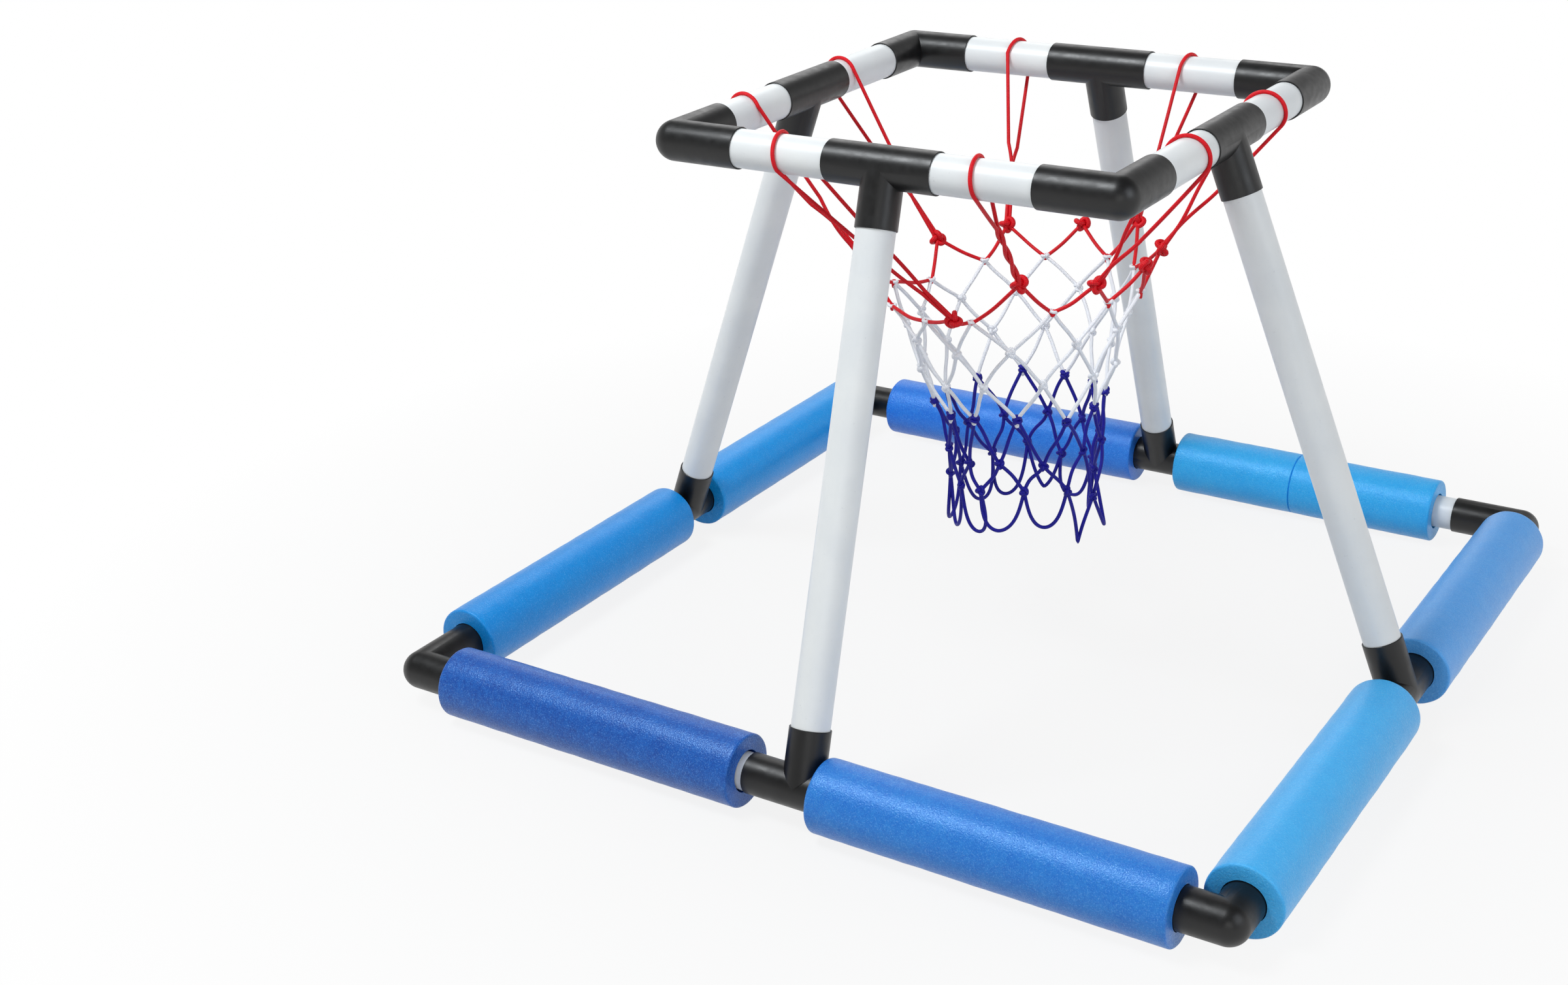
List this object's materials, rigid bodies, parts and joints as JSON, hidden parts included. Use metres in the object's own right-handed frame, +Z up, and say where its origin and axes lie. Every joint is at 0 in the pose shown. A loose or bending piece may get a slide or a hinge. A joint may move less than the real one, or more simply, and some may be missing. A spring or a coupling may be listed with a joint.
{
  "type": "floating basketball hoop",
  "caption": "Square floating base of foam-covered pipes with four leaning legs that carry a smaller square hoop frame with a hanging cord net.",
  "frame": {"origin": "on the floor under the middle of the square base, where the floats' undersides lie", "axes": "+Z up through the hoop, +X along the front bar to the right, +Y from the front bar to the back"},
  "size_m": [0.6424, 0.6424, 0.4001],
  "materials": {
    "pipe_white": "satin",
    "fitting_black": "satin",
    "foam_royal": "fine closed-cell foam skin",
    "foam_azure": "fine closed-cell foam skin",
    "foam_sky": "fine closed-cell foam skin",
    "foam_teal": "fine closed-cell foam skin",
    "cord_red": "braided cord",
    "cord_white": "braided cord",
    "cord_blue": "braided cord"
  },
  "bodies": {
    "frame": {"base_elbow_front_left": "fitting_black", "base_elbow_front_right": "fitting_black", "base_elbow_back_right": "fitting_black", "base_elbow_back_left": "fitting_black", "base_tee_front": "fitting_black", "base_tee_right": "fitting_black", "base_tee_back": "fitting_black", "base_tee_left": "fitting_black", "base_pipe_front_left": "pipe_white", "base_pipe_front_right": "pipe_white", "base_pipe_right_front": "pipe_white", "base_pipe_right_back": "pipe_white", "base_pipe_back_left": "pipe_white", "base_pipe_back_right": "pipe_white", "base_pipe_left_front": "pipe_white", "base_pipe_left_back": "pipe_white", "top_elbow_front_left": "fitting_black", "top_elbow_front_right": "fitting_black", "top_elbow_back_right": "fitting_black", "top_elbow_back_left": "fitting_black", "top_tee_front": "fitting_black", "top_tee_right": "fitting_black", "top_tee_back": "fitting_black", "top_tee_left": "fitting_black", "top_pipe_front_left": "pipe_white", "top_pipe_front_right": "pipe_white", "top_pipe_right_front": "pipe_white", "top_pipe_right_back": "pipe_white", "top_pipe_back_left": "pipe_white", "top_pipe_back_right": "pipe_white", "top_pipe_left_front": "pipe_white", "top_pipe_left_back": "pipe_white", "leg_front": "pipe_white", "leg_right": "pipe_white", "leg_back": "pipe_white", "leg_left": "pipe_white"},
    "float_front_left": {"float_front_left": "foam_royal"},
    "float_front_right": {"float_front_right": "foam_azure"},
    "float_right_front": {"float_right_front": "foam_sky"},
    "float_right_back": {"float_right_back": "foam_sky"},
    "float_back_left": {"float_back_left": "foam_azure"},
    "float_back_right": {"float_back_right": "foam_sky"},
    "float_left_front": {"float_left_front": "foam_teal"},
    "float_left_back": {"float_left_back": "foam_teal"},
    "net_ring": {"net_hangers": "cord_red"},
    "net_skirt": {"net_upper": "cord_white"},
    "net_hem": {"net_lower": "cord_blue"}
  },
  "joints": [
    {"name": "float_front_left_slide", "type": "slide", "parent": "frame", "child": "float_front_left", "axis": [1, 0, 0], "range_m": [-0.01, 0.0265]},
    {"name": "float_front_right_slide", "type": "slide", "parent": "frame", "child": "float_front_right", "axis": [1, 0, 0], "range_m": [-0.001, 0.0025]},
    {"name": "float_right_front_slide", "type": "slide", "parent": "frame", "child": "float_right_front", "axis": [0, 1, 0], "range_m": [-0.0078, 0.0158]},
    {"name": "float_right_back_slide", "type": "slide", "parent": "frame", "child": "float_right_back", "axis": [0, 1, 0], "range_m": [-0.0178, 0.0128]},
    {"name": "float_back_left_slide", "type": "slide", "parent": "frame", "child": "float_back_left", "axis": [1, 0, 0], "range_m": [-0.016, 0.0058]},
    {"name": "float_back_right_slide", "type": "slide", "parent": "frame", "child": "float_back_right", "axis": [1, 0, 0], "range_m": [-0.0053, 0.0395]},
    {"name": "float_left_front_slide", "type": "slide", "parent": "frame", "child": "float_left_front", "axis": [0, 1, 0], "range_m": [-0.0338, 0.007]},
    {"name": "float_left_back_slide", "type": "slide", "parent": "frame", "child": "float_left_back", "axis": [0, 1, 0], "range_m": [-0.0048, 0.0078]},
    {"name": "net_ring_sway", "type": "slide", "parent": "frame", "child": "net_ring", "axis": [0, 1, 0], "range_m": [-0.01, 0.01], "stiffness_N_per_m": 1.5, "deforming": ["net_hangers"]},
    {"name": "net_skirt_sway", "type": "slide", "parent": "net_ring", "child": "net_skirt", "axis": [1, 0, 0], "range_m": [-0.016, 0.016], "stiffness_N_per_m": 1.5, "deforming": ["net_upper"]},
    {"name": "net_hem_sway", "type": "slide", "parent": "net_skirt", "child": "net_hem", "axis": [0, 1, 0], "range_m": [-0.02, 0.02], "stiffness_N_per_m": 1.5, "deforming": ["net_lower"]}
  ]
}
